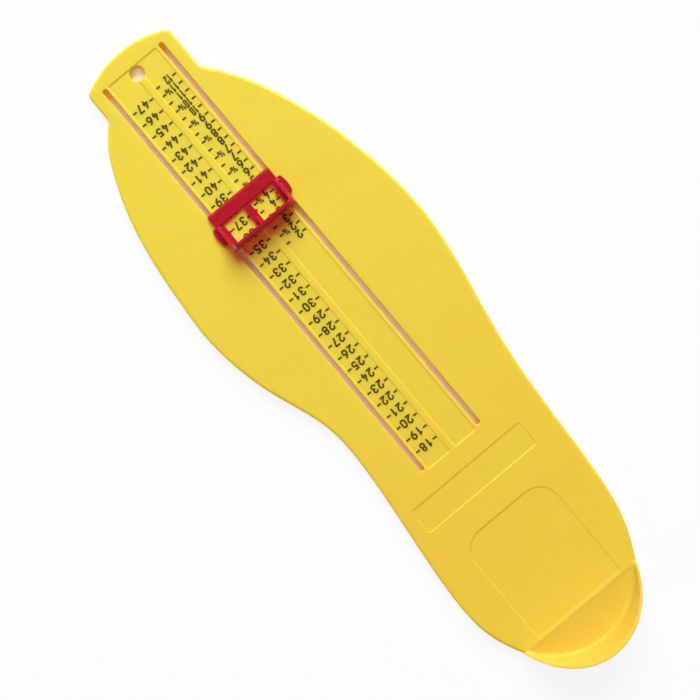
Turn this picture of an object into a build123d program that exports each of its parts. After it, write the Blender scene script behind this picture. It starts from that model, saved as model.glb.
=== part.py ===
from build123d import *
import math
import os

# Foot measuring device: a moulded foot-shaped plate with a heel cup, and a slider on its rail.
# Frame, in millimetres: X across the plate, Y along it with the heel at +Y, Z up from the table.
# The origin is the middle of the plate's outline box, on the table.

# --- shoe sizes ---------------------------------------------------------------------------
paris_point = 20 / 3                   # one Continental size
toe_room = 13.6                        # length that a shoe has over the foot
uk_half_size = 2 / 3 * paris_point     # one British half size, as the left scale spaces it
uk_first_size = 2
eu_at_uk_first_size = 34               # the Continental size that the British scale starts at
rest_size = 37                         # Continental size that the slider is left at

# --- plate outline ------------------------------------------------------------------------
plate_length = 337.1
plate_width = 109.3
heel_axis_x = 4.6                      # middle of the heel, from the middle of the box
heel_radius = 37.2                     # outline round the heel, at the top face
heel_join_angle = 28                   # the heel's arc ends this far above its centre, in degrees
rail_axis_x = 3.0                      # middle of the rail between the slots
tab_shift = 0.15                       # middle of the toe tab, from the middle of the rail
tab_margin = 5.9                       # from a slot to the side of the toe tab
tab_end_radius = 48
tab_corner_radius = 3
shoulder_radius = 2.2                  # hollow corner where the toe tab leaves the plate
left_tab_length = 27.1                 # from the tip to that corner, on each side
right_tab_length = 20.4
left_shoulder_heading = -50            # the outline's heading as it reaches the corner, in degrees
right_shoulder_heading = -137
side_steps = 20                        # points that the skirt's inner side takes from each side

# Each side of the outline: how far along from the heel's arc to the corner at the toe tab, as a
# share of that run, and how far out from the middle of the box.
left_side = [(0.06, 35.5), (0.10, 37.9), (0.16, 39.6), (0.28, 41.65), (0.40, 45.4), (0.51, 51.4),
             (0.625, plate_width / 2), (0.73, 51.7), (0.80, 47.5), (0.86, 42.1), (0.945, 31.2)]
right_side = [(0.055, 43.7), (0.105, 44.95), (0.15, 44.35), (0.23, 42.0), (0.355, 38.2), (0.44, 39.1),
              (0.535, 48.4), (0.59, 52.45), (0.665, plate_width / 2), (0.715, 53.85), (0.775, 52.1),
              (0.87, 46.7), (0.94, 39.0), (0.972, 33.8)]

# --- plate section ------------------------------------------------------------------------
plate_depth = 5                        # from the table to the top face
skin = 2                               # thickness of the top
rim_wall = 1.6                         # skirt round the edge, which stands on the table
edge_radius = 1.2
rib_wall = 1.2
rib_gap = 0.6                          # ribs end this far above the table
rib_pitch = 24
lane_margin = 1.6                      # from a slot to the ribs beside the lane under it

# --- heel cup -----------------------------------------------------------------------------
cup_height = 21                        # rim of the cup above the top face
cup_wall = 1
cup_flare = 2.7                        # the rim leans out by this much
cup_reach = 21                         # from the back of the rim to the front ends of the cup
cup_root_radius = 1.5                  # fillet between the floor and the wall
heel_step = 0.06                       # the heel's floor lies this far under the top face
ridge_width = 1                        # low ridge between the heel's floor and the heel panel
ridge_slope = 1.6                      # run of the ridge's slope down into the heel panel

# --- recesses in the top face -------------------------------------------------------------
recess_depth = 0.25
wall_slope = 0.45                      # run of the sloping walls round every recess and track
label_length = 61.75
label_height = 12.65
label_x = 3.8
label_from_heel = 94                   # middle of the label recess, from the back of the heel
label_corner_radius = 1.4
panel_width = 47.25
panel_height = 54
panel_x = 3.95
panel_corner_radius = 10.5

# --- rail, slots and scales ---------------------------------------------------------------
slot_spacing = 32.05
slot_width = 2.4
slot_corner_radius = 1
slot_from_cup = 107.1                  # heel end of the slots, from the inside of the cup
slot_to_tip = 8.45                     # toe end of the slots, from the tip of the tab
track_depth = 0.35
track_corner_radius = 0.6
track_toe_inset = 0.15                 # the tracks start this far behind the slots' toe end
track_heel_reach = 1.2                 # and end this far beyond the slots' heel end
left_land = 1.35                       # from the left slot to the left track
left_track_width = 12.15
track_rib = 2.7
right_land = 0.92                      # from the right track to the right slot
hole_radius = 3.5
hole_to_tip = 12.15
hole_boss_wall = 1.8

# --- stamped figures ----------------------------------------------------------------------
ink = 0.1                              # thickness of the stamping
pen = 0.75                             # width of a stroke
pair_pen = 0.6                         # in the two-figure sizes of the left scale
fine_pen = 0.55                        # in the half sign
tick_length = 2
tick_thickness = 0.75
eu_left_tick_margin = 0.05             # from a tick's outer end to the side of its track's floor
eu_right_tick_margin = 0.2
eu_figure_height = 4.2
eu_figure_width = 2.6
eu_figure_spacing = 3.2
uk_left_tick_margin = 0.05
uk_right_tick_margin = 0.1
uk_figure_height = 4.1
uk_single_width = 2.4
uk_pair_width = 1.55                   # each figure of a two-figure size
uk_pair_spacing = 1.75
uk_figures_start = 3.15                # left edge of the figures, from the left side of the track
half_start = 6.6                       # left edge of the half sign, likewise
half_width = 2.85
half_height = 3.2

# --- slider -------------------------------------------------------------------------------
slide_clearance = 0.15                 # under the frame, and beside each keel in its slot
end_clearance = 0.6                    # left at the ends of the slots
stop_to_pointer = 8.5                  # from the face that the toes meet to the index teeth
body_length = 19.9
body_corner_radius = 0.6
stop_wall = 2
stop_height = 9                        # above the frame's underside
stop_corner_radius = 3.5
frame_thickness = 1.3
centre_bar = 3.5
centre_bar_shift = 0.5
left_side_bar = 3.85                   # from the outer face to a window
right_side_bar = 3.5
bar_length = 6.6                       # thumb bar at the toe side
bar_height = 1.6
bar_round = 1.3
cheek_wall = 1.6
cheek_bow = 1.0                        # hollow of the cheek's sloping edge
gusset_wall = 1.2
gusset_length = 4
gusset_height = 4.5
tooth_length = 1.1
tooth_width = 1.5
tooth_thickness = 1
ear_length = 8.8
ear_reach = 2.6                        # at the middle of its bowed side
ear_end_reach = 1.9                    # at the ends of that side
ear_corner_radius = 0.9
ear_height = 1.3
ear_from_stop = 4.9                    # from the face of the stop to the start of the ears
grip_radius = 0.55
grip_spacing = 2.8
grip_height = 2                      # ridges on the outer faces, above the frame's underside
leg_wall = 1.3
leg_length = 5
leg_inset = 1.5                        # the legs start this far behind the face of the stop
leg_gap = 0.8                          # slit between a leg and the keel
hook_reach = 0.7                       # catch under the plate, beyond the side of the slot
hook_height = 1.3
hook_clearance = 0.2
hook_bevel = 0.7
stop_round = 0.5

# --- levels and places that follow --------------------------------------------------------
heel_back_y = plate_length / 2
toe_tip_y = -plate_length / 2
heel_axis_y = heel_back_y - heel_radius - cup_flare
cup_inner_radius = heel_radius - cup_wall
cup_inner_y = heel_axis_y + cup_inner_radius
cup_front_y = heel_back_y - cup_reach
skin_underside = plate_depth - skin
heel_floor = plate_depth - heel_step
recess_floor = plate_depth - recess_depth
track_floor = plate_depth - track_depth
slot_heel_y = cup_inner_y - slot_from_cup
slot_toe_y = toe_tip_y + slot_to_tip
slot_length = slot_heel_y - slot_toe_y
slot_middle_y = (slot_heel_y + slot_toe_y) / 2
track_toe_y = slot_toe_y + track_toe_inset
track_heel_y = slot_heel_y + track_heel_reach
track_length = track_heel_y - track_toe_y
track_middle_y = (track_heel_y + track_toe_y) / 2
left_slot_x = rail_axis_x - slot_spacing / 2
right_slot_x = rail_axis_x + slot_spacing / 2
slot_centres = [(left_slot_x, slot_middle_y), (right_slot_x, slot_middle_y)]
tab_x = rail_axis_x + tab_shift
tab_half_width = (slot_spacing + slot_width) / 2 + tab_margin
right_track_width = slot_spacing - slot_width - left_land - left_track_width - track_rib - right_land
left_track_x = left_slot_x + slot_width / 2 + left_land + left_track_width / 2
right_track_x = left_track_x + (left_track_width + right_track_width) / 2 + track_rib
left_track_edge = left_track_x - left_track_width / 2
frame_underside = plate_depth + slide_clearance
body_width = slot_spacing + slot_width


def mark_y(size):
    """Place along the rail of a Continental size: the pointer stands there when the toes fit it."""
    return cup_inner_y - (size * paris_point - toe_room) - stop_to_pointer


def uk_mark_y(half_sizes):
    """Place along the rail of a British size, counted in half sizes from the first one."""
    return mark_y(eu_at_uk_first_size) - half_sizes * uk_half_size


# How far the slider reaches along the slots sets which sizes the scales hold.
leg_span = body_length - 2 * leg_inset
keel_length = leg_span - 2 * (leg_length + leg_gap)
pointer_to_leg = stop_to_pointer - leg_inset
highest_pointer_y = slot_heel_y - end_clearance - pointer_to_leg
lowest_pointer_y = slot_toe_y + end_clearance + leg_span - pointer_to_leg
pointer_y = mark_y(rest_size)
eu_sizes = [size for size in range(100) if lowest_pointer_y <= mark_y(size) <= highest_pointer_y]
uk_steps = [step for step in range(100) if uk_mark_y(step) >= lowest_pointer_y]

os.makedirs("parts", exist_ok=True)


# --- outline of the plate -----------------------------------------------------------------
def side_points(side, sign, start, end):
    """Points of one side of the outline, between its start at the heel and its end at the tab."""
    return [(sign * out, start[1] + share * (end[1] - start[1])) for share, out in side]


def direction(angle):
    """Unit vector in the plane of the plate, by its angle in degrees."""
    return (math.cos(math.radians(angle)), math.sin(math.radians(angle)))


def on_heel(angle):
    """Point on the heel's arc, by its angle in degrees."""
    along, up = direction(angle)
    return (heel_axis_x + heel_radius * along, heel_axis_y + heel_radius * up)


def tab_end_y(inset):
    """Where the toe tab's sides meet its curved end, on an outline moved in by inset."""
    radius = tab_end_radius - inset
    return toe_tip_y + tab_end_radius - math.sqrt(radius**2 - (tab_half_width - inset) ** 2)


left_join = on_heel(180 - heel_join_angle)
right_join = on_heel(heel_join_angle)
left_corner = (tab_x - tab_half_width, toe_tip_y + left_tab_length)
right_corner = (tab_x + tab_half_width, toe_tip_y + right_tab_length)
left_tab_end = (tab_x - tab_half_width, tab_end_y(0))
right_tab_end = (tab_x + tab_half_width, tab_end_y(0))

with BuildSketch() as sole:
    with BuildLine():
        ThreePointArc(right_join, on_heel(90), left_join)
        left_edge = Spline(left_join, *side_points(left_side, -1, left_join, left_corner), left_corner,
                           tangents=[direction(270 - heel_join_angle), direction(left_shoulder_heading)],
                           tangent_scalars=[1, 1])
        Line(left_corner, left_tab_end)
        ThreePointArc(left_tab_end, (tab_x, toe_tip_y), right_tab_end)
        Line(right_tab_end, right_corner)
        right_edge = Spline(right_join, *side_points(right_side, 1, right_join, right_corner), right_corner,
                            tangents=[direction(heel_join_angle - 90), direction(right_shoulder_heading)],
                            tangent_scalars=[1, 1])
    make_face()
    fillet(sole.vertices().sort_by(Axis.Y)[:2], tab_corner_radius)
    fillet(sole.vertices().sort_by(Axis.Y)[4:6], shoulder_radius)


def inset_side(edge, inset, turn):
    """Points along one side moved into the plate, which lies at that turn from the heading."""
    places = [step / side_steps for step in range(side_steps + 1)]
    return [edge @ place + (edge % place).rotate(Axis.Z, turn) * inset for place in places]


def inset_outline(inset):
    """Face of the plate's outline, moved in by inset all round."""
    left = inset_side(left_edge, inset, 90)
    right = inset_side(right_edge, inset, -90)
    left_x = tab_x - tab_half_width + inset
    right_x = tab_x + tab_half_width - inset
    with BuildSketch() as outline:
        with BuildLine():
            ThreePointArc(right[0], (heel_axis_x, heel_axis_y + heel_radius - inset), left[0])
            Spline(*left)
            Polyline(left[-1], (left_x, left_corner[1]), (left_x, tab_end_y(inset)))
            ThreePointArc((left_x, tab_end_y(inset)), (tab_x, toe_tip_y + inset),
                          (right_x, tab_end_y(inset)))
            Polyline((right_x, tab_end_y(inset)), (right_x, right_corner[1]), right[-1])
            Spline(*right)
        make_face()
        fillet(outline.vertices().sort_by(Axis.Y)[:2], tab_corner_radius - inset)
    return outline.sketch


# --- underside ribs -----------------------------------------------------------------------
# Lateral ribs stop short of the lanes that the slider's legs run in; ribs line both sides of a lane.
lane_half_width = slot_width / 2 + lane_margin
rail_rib_offset = slot_spacing / 2 - lane_half_width - rib_wall / 2
side_rib_offset = slot_spacing / 2 + lane_half_width + rib_wall / 2
rib_rows = math.floor((plate_length / 2 - rib_pitch / 2) / rib_pitch)
rib_levels = [row * rib_pitch for row in range(-rib_rows, rib_rows + 1)]

with BuildSketch(Plane.XY.offset(rib_gap)) as ribs:
    with Locations(*[(0, level) for level in rib_levels]):
        Rectangle(plate_width, rib_wall)
    with Locations(*slot_centres):
        Rectangle(2 * lane_half_width, slot_length + 2 * lane_margin, mode=Mode.SUBTRACT)
    with Locations(*[(rail_axis_x + side * side_rib_offset, slot_middle_y) for side in (-1, 1)]):
        Rectangle(rib_wall, slot_length + 2 * lane_margin)
    with Locations(*[(rail_axis_x + side * rail_rib_offset, slot_middle_y) for side in (-1, 1)]):
        Rectangle(rib_wall, slot_length + 2 * lane_margin)
    add(inset_outline(rim_wall / 2), mode=Mode.INTERSECT)

# --- heel cup -----------------------------------------------------------------------------
rim_level = plate_depth + cup_height
heel_section = Plane(origin=(heel_axis_x, heel_axis_y, 0), x_dir=(0, 1, 0), z_dir=(1, 0, 0))

with BuildPart() as heel_cup:
    with BuildSketch(heel_section) as wall:
        Polygon((heel_radius, 0), (heel_radius, plate_depth), (heel_radius + cup_flare, rim_level),
                (cup_inner_radius + cup_flare, rim_level), (cup_inner_radius, heel_floor),
                (cup_inner_radius - 2 * cup_root_radius, heel_floor),
                (cup_inner_radius - 2 * cup_root_radius, skin_underside),
                (cup_inner_radius, skin_underside), (cup_inner_radius, 0), align=None)
        fillet(wall.vertices().filter_by_position(Axis.Y, heel_floor, heel_floor).sort_by(Axis.X)[-1],
               cup_root_radius)
    revolve(axis=Axis((heel_axis_x, heel_axis_y, 0), (0, 0, 1)))
    with BuildSketch(Plane.YZ):
        Polygon((cup_front_y, plate_depth), (cup_front_y, 0), (heel_back_y, 0),
                (heel_back_y, rim_level), align=None)
    extrude(amount=plate_width, both=True, mode=Mode.INTERSECT)

# --- base plate ---------------------------------------------------------------------------
# Middle, size, corner radius and floor of each recess with the same slope on every side.
recesses = [(label_x, heel_back_y - label_from_heel, label_length, label_height,
             label_corner_radius, recess_floor),
            (left_track_x, track_middle_y, left_track_width, track_length,
             track_corner_radius, track_floor),
            (right_track_x, track_middle_y, right_track_width, track_length,
             track_corner_radius, track_floor)]

with BuildPart() as base_plate:
    add(sole.sketch)
    extrude(amount=plate_depth)
    fillet(base_plate.edges().group_by(Axis.Z)[-1], edge_radius)
    add(inset_outline(rim_wall))
    extrude(amount=skin_underside, mode=Mode.SUBTRACT)

    # Heel floor inside the cup, a step below the top face.
    with BuildSketch(Plane.XY.offset(plate_depth)):
        with Locations((heel_axis_x, heel_axis_y)):
            Circle(cup_inner_radius)
        with Locations((heel_axis_x, cup_front_y + ridge_width)):
            Rectangle(2 * heel_radius, 2 * heel_radius, align=(Align.CENTER, Align.MIN),
                      mode=Mode.INTERSECT)
    extrude(amount=-heel_step, mode=Mode.SUBTRACT)

    # Cup, ribs and the boss round the hang hole.
    add(heel_cup.part)
    add(ribs.sketch)
    extrude(amount=skin_underside + skin / 4 - rib_gap)
    with BuildSketch():
        with Locations((tab_x, toe_tip_y + hole_to_tip)):
            Circle(hole_radius + hole_boss_wall)
    extrude(amount=skin_underside + skin / 4)

    # Plain heel panel, whose heel side is the long slope of the ridge.
    for inset, heel_inset, level in ((0, 0, plate_depth), (wall_slope, ridge_slope, recess_floor)):
        with BuildSketch(Plane.XY.offset(level)) as panel:
            with Locations((panel_x, cup_front_y - heel_inset)):
                Rectangle(panel_width - 2 * inset, panel_height - inset - heel_inset,
                          align=(Align.CENTER, Align.MAX))
            fillet(panel.vertices().group_by(Axis.Y)[0], panel_corner_radius - inset)
    loft(ruled=True, mode=Mode.SUBTRACT)

    # Blank label recess and the two scale tracks.
    for x, y, width, length, radius, floor in recesses:
        for inset, level in ((0, plate_depth), (wall_slope, floor)):
            with BuildSketch(Plane.XY.offset(level)):
                with Locations((x, y)):
                    RectangleRounded(width - 2 * inset, length - 2 * inset, radius - inset)
        loft(ruled=True, mode=Mode.SUBTRACT)

    # Slots and hang hole.
    with BuildSketch():
        with Locations(*slot_centres):
            RectangleRounded(slot_width, slot_length, slot_corner_radius)
        with Locations((tab_x, toe_tip_y + hole_to_tip)):
            Circle(hole_radius)
    extrude(amount=plate_depth, mode=Mode.SUBTRACT)

base_plate.part.label = "base_plate"
export_step(base_plate.part, "parts/base_plate.step")


# --- stamped figures ----------------------------------------------------------------------
# Strokes of each figure in a box from -1 to 1 both ways: a run of straight lines, or an arc through
# three points.
FIGURES = {
    "0": [["arc", (-1, 0.55), (0, 1), (1, 0.55)], ["line", (1, 0.55), (1, -0.55)],
          ["arc", (1, -0.55), (0, -1), (-1, -0.55)], ["line", (-1, -0.55), (-1, 0.55)]],
    "1": [["line", (-0.5, 0.5), (0.25, 1), (0.25, -1)]],
    "2": [["arc", (-1, 0.45), (0, 1), (1, 0.45)], ["arc", (1, 0.45), (0.86, 0.02), (0.5, -0.27)],
          ["line", (0.5, -0.27), (-1, -1), (1, -1)]],
    "3": [["arc", (-0.9, 0.66), (0.8, 0.8), (0, 0.06)], ["arc", (0, 0.06), (1, -0.5), (-1, -0.62)]],
    "4": [["line", (0.15, 1), (-1, -0.4), (1, -0.4)], ["line", (0.45, 0.1), (0.45, -1)]],
    "5": [["line", (0.8, 1), (-0.75, 1), (-0.8, 0.1)],
          ["arc", (-0.8, 0.1), (1, -0.38), (-0.95, -0.72)]],
    "6": [["arc", (-1, -0.4), (0, 0.2), (1, -0.4)], ["arc", (1, -0.4), (0, -1), (-1, -0.4)],
          ["arc", (-1, -0.4), (-0.5, 0.45), (0.5, 1)]],
    "7": [["line", (-1, 1), (1, 1), (-0.35, -1)]],
    "8": [["arc", (-0.85, 0.52), (0, 1), (0.85, 0.52)], ["arc", (0.85, 0.52), (0, 0.04), (-0.85, 0.52)],
          ["arc", (-1, -0.46), (0, 0.08), (1, -0.46)], ["arc", (1, -0.46), (0, -1), (-1, -0.46)]],
    "9": [["arc", (1, 0.4), (0, -0.2), (-1, 0.4)], ["arc", (-1, 0.4), (0, 1), (1, 0.4)],
          ["arc", (1, 0.4), (0.5, -0.45), (-0.5, -1)]],
}


def draw_figure(name, width, height, stroke):
    """Sketch of one figure with round stroke ends, centred on its own origin."""
    half_w = (width - stroke) / 2
    half_h = (height - stroke) / 2
    with BuildSketch() as figure:
        for kind, *spots in FIGURES[name]:
            places = [(x * half_w, y * half_h) for x, y in spots]
            runs = [places] if kind == "arc" else list(zip(places, places[1:]))
            for run in runs:
                with BuildLine():
                    if kind == "arc":
                        ThreePointArc(*run)
                    else:
                        Line(*run)
                trace(line_width=stroke)
                with Locations(run[0], run[-1]):
                    Circle(stroke / 2)
    return figure.sketch


def stamp_places(labels):
    """Where each figure goes, from (text, x of the first figure, spacing, y) rows."""
    places = {}
    for text, first_x, spacing, y in labels:
        for index, name in enumerate(text):
            places.setdefault(name, []).append((first_x + index * spacing, y))
    return places


track_face = Plane.XY.offset(track_floor)

# Right-hand scale: Continental sizes, two figures each.
eu_first_x = right_track_x - eu_figure_spacing / 2
eu_rows = [(str(size), eu_first_x, eu_figure_spacing, mark_y(size)) for size in eu_sizes]
with BuildPart() as eu_figures:
    with BuildSketch(track_face):
        for name, places in stamp_places(eu_rows).items():
            with Locations(*places):
                add(draw_figure(name, eu_figure_width, eu_figure_height, pen))
    extrude(amount=ink)

eu_figures.part.label = "eu_figures"
export_step(eu_figures.part, "parts/eu_figures.step")


def tick_places(track_x, track_width, left_margin, right_margin):
    """Middles, across the plate, of the two ticks of a row."""
    floor_half_width = track_width / 2 - wall_slope
    return [track_x - floor_half_width + left_margin + tick_length / 2,
            track_x + floor_half_width - right_margin - tick_length / 2]


eu_tick_x = tick_places(right_track_x, right_track_width, eu_left_tick_margin, eu_right_tick_margin)
with BuildPart() as eu_ticks:
    with BuildSketch(track_face):
        with Locations(*[(x, mark_y(size)) for x in eu_tick_x for size in eu_sizes]):
            Rectangle(tick_length, tick_thickness)
    extrude(amount=ink)

eu_ticks.part.label = "eu_ticks"
export_step(eu_ticks.part, "parts/eu_ticks.step")

# Left-hand scale: British sizes, a half sign on every second row.
uk_whole = [(f"{uk_first_size + step // 2:.0f}", uk_mark_y(step)) for step in uk_steps]
uk_singles = [(text, left_track_edge + uk_figures_start + uk_single_width / 2, 0, y)
              for text, y in uk_whole if len(text) == 1]
uk_pairs = [(text, left_track_edge + uk_figures_start + uk_pair_width / 2, uk_pair_spacing, y)
            for text, y in uk_whole if len(text) == 2]
half_places = [(left_track_edge + half_start + half_width / 2, uk_mark_y(step))
               for step in uk_steps if step % 2 == 1]


def draw_half():
    """Sketch of the half sign, centred on its own origin."""
    part_width = 0.42 * half_width
    part_height = 0.52 * half_height
    part_x = (half_width - part_width) / 2
    part_y = (half_height - part_height) / 2
    stroke_x = half_width / 6
    stroke_y = (half_height - fine_pen) / 2
    with BuildSketch() as sign:
        with Locations((-part_x, part_y)):
            add(draw_figure("1", part_width, part_height, fine_pen))
        with Locations((part_x, -part_y)):
            add(draw_figure("2", part_width, part_height, fine_pen))
        with BuildLine():
            Line((-stroke_x, -stroke_y), (stroke_x, stroke_y))
        trace(line_width=fine_pen)
    return sign.sketch


with BuildPart() as uk_figures:
    with BuildSketch(track_face):
        for name, places in stamp_places(uk_singles).items():
            with Locations(*places):
                add(draw_figure(name, uk_single_width, uk_figure_height, pen))
        for name, places in stamp_places(uk_pairs).items():
            with Locations(*places):
                add(draw_figure(name, uk_pair_width, uk_figure_height, pair_pen))
        with Locations(*half_places):
            add(draw_half())
    extrude(amount=ink)

uk_figures.part.label = "uk_figures"
export_step(uk_figures.part, "parts/uk_figures.step")

uk_tick_x = tick_places(left_track_x, left_track_width, uk_left_tick_margin, uk_right_tick_margin)
with BuildPart() as uk_ticks:
    with BuildSketch(track_face):
        with Locations(*[(x, uk_mark_y(step)) for x in uk_tick_x for step in uk_steps]):
            Rectangle(tick_length, tick_thickness)
    extrude(amount=ink)

uk_ticks.part.label = "uk_ticks"
export_step(uk_ticks.part, "parts/uk_ticks.step")

# --- slider -------------------------------------------------------------------------------
stop_y = pointer_y + stop_to_pointer
body_toe_y = stop_y - body_length
bar_heel_y = body_toe_y + bar_length
window_heel_y = stop_y - stop_wall
window_length = window_heel_y - bar_heel_y
body_left_x = rail_axis_x - body_width / 2
body_right_x = rail_axis_x + body_width / 2
centre_bar_x = rail_axis_x + centre_bar_shift
windows = [(body_left_x + left_side_bar, centre_bar_x - centre_bar / 2),
           (centre_bar_x + centre_bar / 2, body_right_x - right_side_bar)]
frame_top = frame_underside + frame_thickness
stop_top = frame_underside + stop_height
bar_top = frame_underside + bar_height
cheek_run = window_length
cheek_drop = stop_top - bar_top
cheek_slope = math.hypot(cheek_run, cheek_drop)
cheek_middle = ((window_heel_y + bar_heel_y) / 2 - cheek_bow * cheek_drop / cheek_slope,
                (stop_top + bar_top) / 2 - cheek_bow * cheek_run / cheek_slope)
ear_y = stop_y - ear_from_stop - ear_length / 2
ear_heel_y = ear_y + ear_length / 2
ear_toe_y = ear_y - ear_length / 2
ear_sides = [(-1, body_left_x), (1, body_right_x)]
leg_places = [stop_y - leg_inset - leg_length / 2, body_toe_y + leg_inset + leg_length / 2]
leg_outer_x = slot_spacing / 2 + slot_width / 2 - slide_clearance
hook_top = skin_underside - hook_clearance
hook_foot = hook_top - hook_height

with BuildPart() as slider:
    # Body: its plan, cut to its side profile and to the rounded stop seen from the heel.
    with BuildSketch(Plane.XY.offset(frame_underside)):
        with Locations((rail_axis_x, stop_y - body_length / 2)):
            RectangleRounded(body_width, body_length, body_corner_radius)
    extrude(amount=stop_height)
    with BuildSketch(Plane.YZ) as profile:
        with BuildLine():
            Polyline((bar_heel_y, bar_top), (body_toe_y, bar_top), (body_toe_y, frame_underside),
                     (stop_y, frame_underside), (stop_y, stop_top), (window_heel_y, stop_top))
            ThreePointArc((window_heel_y, stop_top), cheek_middle, (bar_heel_y, bar_top))
        make_face()
        fillet(profile.vertices().group_by(Axis.Y)[-1], stop_round)
        fillet(profile.vertices().sort_by(Axis.X)[:2].sort_by(Axis.Y)[-1], bar_round)
    extrude(amount=plate_width, both=True, mode=Mode.INTERSECT)
    with BuildSketch(Plane(origin=(rail_axis_x, stop_y, frame_underside), x_dir=(1, 0, 0),
                           z_dir=(0, -1, 0))) as face:
        Rectangle(body_width, stop_height, align=(Align.CENTER, Align.MIN))
        fillet(face.vertices().group_by(Axis.Y)[-1], stop_corner_radius)
    extrude(amount=body_length, mode=Mode.INTERSECT)

    # Well between the cheeks, and the two windows in its floor.
    with BuildSketch(Plane.XY.offset(frame_top)):
        with Locations((rail_axis_x, bar_heel_y)):
            Rectangle(body_width - 2 * cheek_wall, window_length, align=(Align.CENTER, Align.MIN))
    extrude(amount=stop_height, mode=Mode.SUBTRACT)
    with BuildSketch(Plane.XY.offset(frame_underside)):
        for left_x, right_x in windows:
            with Locations(((left_x + right_x) / 2, bar_heel_y)):
                Rectangle(right_x - left_x, window_length, align=(Align.CENTER, Align.MIN))
    extrude(amount=frame_thickness, mode=Mode.SUBTRACT)

    # Gusset behind the stop.
    with BuildSketch(Plane.YZ.offset(centre_bar_x)):
        Polygon((window_heel_y + stop_wall / 2, frame_top - frame_thickness / 2),
                (window_heel_y + stop_wall / 2, frame_top + gusset_height),
                (window_heel_y, frame_top + gusset_height), (window_heel_y - gusset_length, frame_top),
                (window_heel_y - gusset_length, frame_top - frame_thickness / 2), align=None)
    extrude(amount=gusset_wall / 2, both=True)

    # Index teeth at both sides of each window.
    with BuildSketch(Plane.XY.offset(frame_underside)):
        for left_x, right_x in windows:
            for side_x, reach in ((left_x, tooth_length), (right_x, -tooth_length)):
                Polygon((side_x - reach / 2, pointer_y - tooth_width / 2),
                        (side_x, pointer_y - tooth_width / 2), (side_x + reach, pointer_y),
                        (side_x, pointer_y + tooth_width / 2),
                        (side_x - reach / 2, pointer_y + tooth_width / 2), align=None)
    extrude(amount=tooth_thickness)

    # Finger tabs on the outer faces, and the upright ridges above them.
    with BuildSketch(Plane.XY.offset(frame_underside)) as ears:
        for side, face_x in ear_sides:
            root_x = face_x - side * cheek_wall / 2
            end_x = face_x + side * ear_end_reach
            with BuildLine():
                ThreePointArc((end_x, ear_toe_y), (face_x + side * ear_reach, ear_y), (end_x, ear_heel_y))
                Polyline((end_x, ear_heel_y), (root_x, ear_heel_y), (root_x, ear_toe_y),
                         (end_x, ear_toe_y))
            make_face()
        fillet(ears.vertices().group_by(Axis.X)[0], ear_corner_radius)
        fillet(ears.vertices().group_by(Axis.X)[-1], ear_corner_radius)
    extrude(amount=ear_height)
    with BuildSketch(Plane.XY.offset(frame_underside)):
        for side, face_x in ear_sides:
            with Locations(*[(face_x, ear_y + row * grip_spacing) for row in (-1, 0, 1)]):
                Circle(grip_radius)
    extrude(amount=grip_height)

    # Keel that fills each slot, between two sprung legs.
    with BuildSketch(Plane.XY.offset(frame_underside + frame_thickness / 2)):
        with Locations((left_slot_x, stop_y - body_length / 2), (right_slot_x, stop_y - body_length / 2)):
            Rectangle(slot_width - 2 * slide_clearance, keel_length)
    extrude(amount=hook_foot - frame_underside - frame_thickness / 2)

    # Legs, each with a bevelled catch that passes under the top of the plate.
    for side in (-1, 1):
        inner_x = rail_axis_x + side * (leg_outer_x - leg_wall)
        outer_x = rail_axis_x + side * leg_outer_x
        catch_x = outer_x + side * (slide_clearance + hook_reach)
        for leg_y in leg_places:
            with BuildSketch(Plane(origin=(0, leg_y, 0), x_dir=(1, 0, 0), z_dir=(0, -1, 0))):
                Polygon((inner_x, frame_underside + frame_thickness / 2), (inner_x, hook_foot),
                        (catch_x - side * hook_bevel, hook_foot), (catch_x, hook_foot + hook_bevel),
                        (catch_x, hook_top), (outer_x, hook_top),
                        (outer_x, frame_underside + frame_thickness / 2), align=None)
            extrude(amount=leg_length / 2, both=True)

slider.part.label = "slider"
export_step(slider.part, "parts/slider.step")
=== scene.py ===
import math

import bpy
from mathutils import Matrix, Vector

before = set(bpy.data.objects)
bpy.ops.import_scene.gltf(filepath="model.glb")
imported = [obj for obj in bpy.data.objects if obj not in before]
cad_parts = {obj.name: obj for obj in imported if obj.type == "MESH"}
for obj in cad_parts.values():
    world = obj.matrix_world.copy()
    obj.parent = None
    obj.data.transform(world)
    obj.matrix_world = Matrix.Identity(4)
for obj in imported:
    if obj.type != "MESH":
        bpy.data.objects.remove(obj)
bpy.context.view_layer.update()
scene = bpy.context.scene
scene.view_settings.view_transform = "Standard"
MM = 0.001

# Camera: straight above the plate, rolled so that the toe tab points to the upper left. The lens
# axis meets the plate beside the middle of the picture, so the picture is a shifted one.
PICTURE_SIDE = 700                       # in pixels
PIXEL = 0.43844 * MM                     # size of a pixel at the plate's top face
PLATE_TOP = 5 * MM
CAMERA_HEIGHT = 690 * MM                 # above the plate's top face
CAMERA_ROLL = math.radians(140.021)
LENS_AXIS = Vector((-11.45, -5.35)) * MM
PICTURE_MIDDLE = Vector((9.55, -3.35)) * MM
SENSOR_WIDTH = 36                        # in millimetres, as the focal length is

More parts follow.
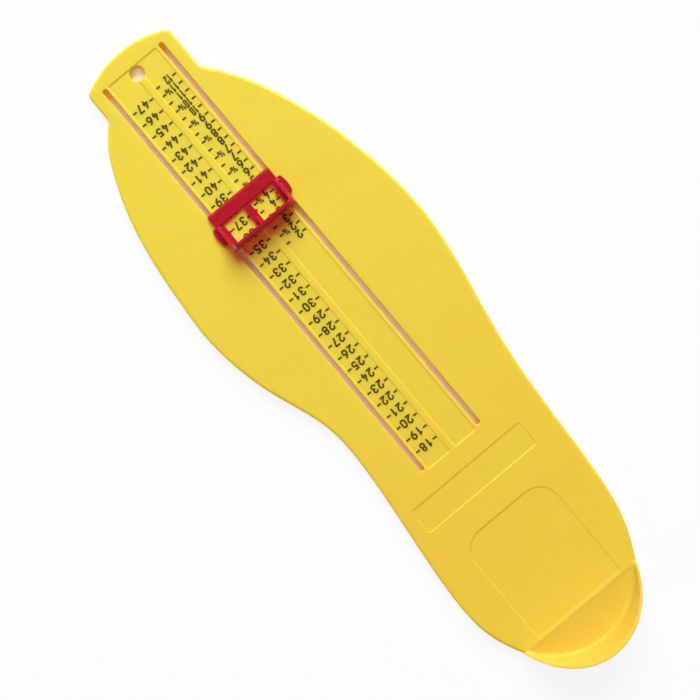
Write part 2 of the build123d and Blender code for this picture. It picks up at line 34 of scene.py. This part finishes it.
picture_width = PICTURE_SIDE * PIXEL
picture_right = Vector((math.cos(CAMERA_ROLL), math.sin(CAMERA_ROLL)))
picture_up = Vector((-math.sin(CAMERA_ROLL), math.cos(CAMERA_ROLL)))
camera_data = bpy.data.cameras.new("camera")
camera_data.sensor_width = SENSOR_WIDTH
camera_data.lens = SENSOR_WIDTH * CAMERA_HEIGHT / picture_width
camera_data.shift_x = (PICTURE_MIDDLE - LENS_AXIS).dot(picture_right) / picture_width
camera_data.shift_y = (PICTURE_MIDDLE - LENS_AXIS).dot(picture_up) / picture_width
camera_data.clip_start = 10 * MM
camera = bpy.data.objects.new("camera", camera_data)
camera.location = (*LENS_AXIS, PLATE_TOP + CAMERA_HEIGHT)
camera.rotation_euler = (0, 0, CAMERA_ROLL)
scene.collection.objects.link(camera)
scene.camera = camera


# Materials.
WHITE = (1, 1, 1, 1)


def linear(red, green, blue):
    """Linear colour of an sRGB one that is given from 0 to 255."""
    channels = []
    for value in (red, green, blue):
        share = value / 255
        channels.append(share / 12.92 if share <= 0.04045 else ((share + 0.055) / 1.055) ** 2.4)
    return (*channels, 1)


class Nodes:
    """A material and short ways to add nodes to it."""

    def __init__(self, name):
        self.material = bpy.data.materials.new(name)
        self.material.use_nodes = True
        self.tree = self.material.node_tree
        self.tree.nodes.clear()
        self.output = self.tree.nodes.new("ShaderNodeOutputMaterial")

    def add(self, kind, inputs=None, **settings):
        node = self.tree.nodes.new(kind)
        for name, value in settings.items():
            setattr(node, name, value)
        for name, value in (inputs or {}).items():
            self.put(node.inputs[name], value)
        return node

    def put(self, socket, value):
        """Links another node's socket to this one, or sets this one to a constant."""
        if isinstance(value, bpy.types.NodeSocket):
            self.tree.links.new(value, socket)
        else:
            socket.default_value = value

    def noise(self, place, scale, detail=2.0, roughness=0.5):
        return self.add("ShaderNodeTexNoise", {"Vector": place, "Scale": scale, "Detail": detail,
                                               "Roughness": roughness}).outputs["Fac"]

    def spread(self, value, low, high, start=0.3, end=0.7):
        """Maps start to low and end to high. A noise lies mostly from 0.3 to 0.7."""
        node = self.add("ShaderNodeMapRange", {"Value": value, "From Min": start, "From Max": end,
                                               "To Min": low, "To Max": high})
        return node.outputs["Result"]

    def math(self, operation, first, second):
        node = self.add("ShaderNodeMath", operation=operation)
        self.put(node.inputs[0], first)
        self.put(node.inputs[1], second)
        return node.outputs[0]

    def blend(self, factor, first, second):
        node = self.add("ShaderNodeMix", data_type="RGBA")
        self.put(node.inputs["Factor"], factor)
        self.put(node.inputs["A"], first)
        self.put(node.inputs["B"], second)
        return node.outputs["Result"]

    def mix(self, factor, first, second):
        """Mixes two shaders, whose sockets share one name and so are taken by their places."""
        node = self.add("ShaderNodeMixShader")
        self.put(node.inputs[0], factor)
        self.put(node.inputs[1], first)
        self.put(node.inputs[2], second)
        return node.outputs[0]

    def finish(self, shader):
        self.tree.links.new(shader, self.output.inputs["Surface"])
        return self.material


# The plastic changes shade slowly from the toe end to the heel. It then turns darker at once in
# the cup and up the cup's wall, and that darkening is painted shade. Each change runs from the
# first value to the second.
DRIFT_Y = (-120 * MM, 90 * MM)
# Where the painted shade of the cup and of its wall starts and where it is full.
CUP_PAINTED_SHADE_Y = (147 * MM, 149 * MM)
WALL_PAINTED_SHADE_Z = (PLATE_TOP + 0.5 * MM, PLATE_TOP + 4 * MM)
GRAIN_SCALE = 2600                       # noise cells in a metre, as all the scales are
RIPPLE_SCALE = 420
DRIFT_SCALE = 14
WORN_SCALE = 1500
INK_SCALE = 3000


def moulded(name, shades, roughness, gloss, grain, edge, scatter, reach, glow):
    """Injection-moulded plastic that lets a little tinted light through.

    It has fine spark-eroded grain, a slow drift of colour towards the heel, painted shade in the
    cup behind it and more painted shade in the cup's thin wall, and soft edges.
    """
    m = Nodes(name)
    place = m.add("ShaderNodeTexCoord").outputs["Object"]
    split = m.add("ShaderNodeSeparateXYZ", {"Vector": place}).outputs
    drift = m.math("ADD", m.spread(split["Y"], -0.1, 0.9, *DRIFT_Y),
                   m.spread(m.noise(place, DRIFT_SCALE, detail=3), -0.15, 0.15))
    plate = m.blend(drift, shades["toe"], shades["waist"])
    # Painted shade: the cup's floor, and still more its wall, are coloured darker than the plate.
    cup = m.blend(m.spread(split["Z"], 0, 1, *WALL_PAINTED_SHADE_Z), shades["cup"], shades["cup wall"])
    body = m.blend(m.spread(split["Y"], 0, 1, *CUP_PAINTED_SHADE_Y), plate, cup)
    fine = m.noise(place, GRAIN_SCALE, detail=3, roughness=0.6)
    coarse = m.noise(place, RIPPLE_SCALE)
    bump = m.add("ShaderNodeBump", {"Strength": grain, "Distance": 0.05 * MM, "Height": fine})
    ripple = m.add("ShaderNodeBump", {"Strength": 0.08, "Distance": 0.1 * MM, "Height": coarse,
                                      "Normal": bump.outputs["Normal"]})
    rounded = m.add("ShaderNodeBevel", {"Radius": edge, "Normal": ripple.outputs["Normal"]},
                    samples=6)
    shader = m.add("ShaderNodeBsdfPrincipled", {
        "Base Color": body,
        "Roughness": m.spread(coarse, roughness - 0.05, roughness + 0.05),
        "IOR": 1.5,
        "Specular IOR Level": gloss,
        "Subsurface Weight": scatter,
        "Subsurface Radius": (1.0, 0.45, 0.1),
        "Subsurface Scale": reach,
        "Normal": rounded.outputs["Normal"]})
    through = m.add("ShaderNodeBsdfTransparent", {"Color": glow})
    return m.finish(m.mix(m.add("ShaderNodeLightPath").outputs["Is Shadow Ray"],
                          shader.outputs["BSDF"], through.outputs["BSDF"]))


def stamped(name, colour, worn):
    """Foil-stamped ink: dark, nearly matt, thinner here and there."""
    m = Nodes(name)
    place = m.add("ShaderNodeTexCoord").outputs["Object"]
    patchy = m.spread(m.noise(place, WORN_SCALE, detail=3), 0, 1, start=0.45, end=0.75)
    shader = m.add("ShaderNodeBsdfPrincipled", {
        "Base Color": m.blend(patchy, colour, worn),
        "Roughness": m.spread(m.noise(place, INK_SCALE), 0.42, 0.6),
        "IOR": 1.45,
        "Specular IOR Level": 0.15})
    return m.finish(shader.outputs["BSDF"])


# The yellow's cup and cup wall colours are painted shade, the plastic darkened in the heel cup.
yellow = moulded("yellow_plastic",
                 {"toe": linear(247, 221, 74), "waist": linear(251, 211, 72),
                  "cup": linear(228, 198, 71), "cup wall": linear(224, 188, 70)},
                 roughness=0.52, gloss=0.25, grain=0.25, edge=0.4 * MM,
                 scatter=0.8, reach=3.5 * MM, glow=(0.55, 0.33, 0.06, 1))
deep_red = linear(176, 20, 38)
red = moulded("red_plastic",
              {"toe": linear(184, 24, 42), "waist": deep_red,
               "cup": deep_red, "cup wall": deep_red},
              roughness=0.24, gloss=0.5, grain=0.12, edge=0.4 * MM,
              scatter=0.1, reach=1.5 * MM, glow=(0.54, 0.0, 0.35, 1))
ink = stamped("scale_ink", linear(82, 64, 12), linear(110, 90, 18))

for node, material in {"base_plate": yellow, "slider": red, "eu_figures": ink, "eu_ticks": ink,
                       "uk_figures": ink, "uk_ticks": ink}.items():
    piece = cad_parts[node]
    piece.data.materials.clear()
    piece.data.materials.append(material)


# Floor: white to the camera where it is open to the room, with the object's shadow kept.
OPEN_GLOW = 0.88                         # share of its own light where nothing covers it
SHADE_REACH = 30 * MM                    # farther things don't cover it
COVERED = 0.22                           # share of open room up to which it has no own light
OPEN = 0.56                              # and from which it has all of it


def white_floor():
    """Matt white that has light of its own for the camera, where it is open to the room."""
    m = Nodes("floor")
    path = m.add("ShaderNodeLightPath").outputs
    seen = m.math("MAXIMUM", path["Is Camera Ray"], path["Is Glossy Ray"])
    seen = m.math("MAXIMUM", seen, path["Is Transmission Ray"])
    hollow = m.add("ShaderNodeAmbientOcclusion", {"Distance": SHADE_REACH}, samples=16)
    opening = m.spread(hollow.outputs["AO"], 0, OPEN_GLOW, COVERED, OPEN)
    paper = m.add("ShaderNodeBsdfDiffuse", {"Color": (0.9, 0.9, 0.9, 1)})
    glow = m.add("ShaderNodeEmission", {"Color": WHITE, "Strength": 1.0})
    return m.finish(m.mix(m.math("MULTIPLY", seen, opening), paper.outputs["BSDF"],
                          glow.outputs["Emission"]))


FLOOR_SIDE = 6
FLOOR_GAP = 0.02 * MM                    # keeps the floor clear of the plate's underside

bpy.ops.mesh.primitive_plane_add(size=FLOOR_SIDE, location=(0, 0, -FLOOR_GAP))
floor = bpy.context.active_object
floor.name = "floor"
floor.data.materials.append(white_floor())


# Light: a large soft lamp beyond the toe end and to the left, a weak low one on the right, and a
# dim room.
def lamp(name, azimuth, elevation, distance, size, power):
    """Round lamp aimed at the plate. Its angles are in degrees and its power in watts."""
    turn = math.radians(azimuth)
    rise = math.radians(elevation)
    place = distance * Vector((math.cos(turn) * math.cos(rise), math.sin(turn) * math.cos(rise),
                               math.sin(rise)))
    data = bpy.data.lights.new(name, "AREA")
    data.shape = "DISK"
    data.size = size
    data.energy = power
    made = bpy.data.objects.new(name, data)
    made.location = place
    made.rotation_euler = (-place).to_track_quat("-Z", "Y").to_euler()
    scene.collection.objects.link(made)


lamp("key", azimuth=-127, elevation=38, distance=5, size=4.2, power=403)
lamp("fill", azimuth=0, elevation=12, distance=5, size=2.5, power=75)

world = bpy.data.worlds.new("world")
world.use_nodes = True
background = world.node_tree.nodes["Background"]
background.inputs["Color"].default_value = WHITE
background.inputs["Strength"].default_value = 0.035
scene.world = world
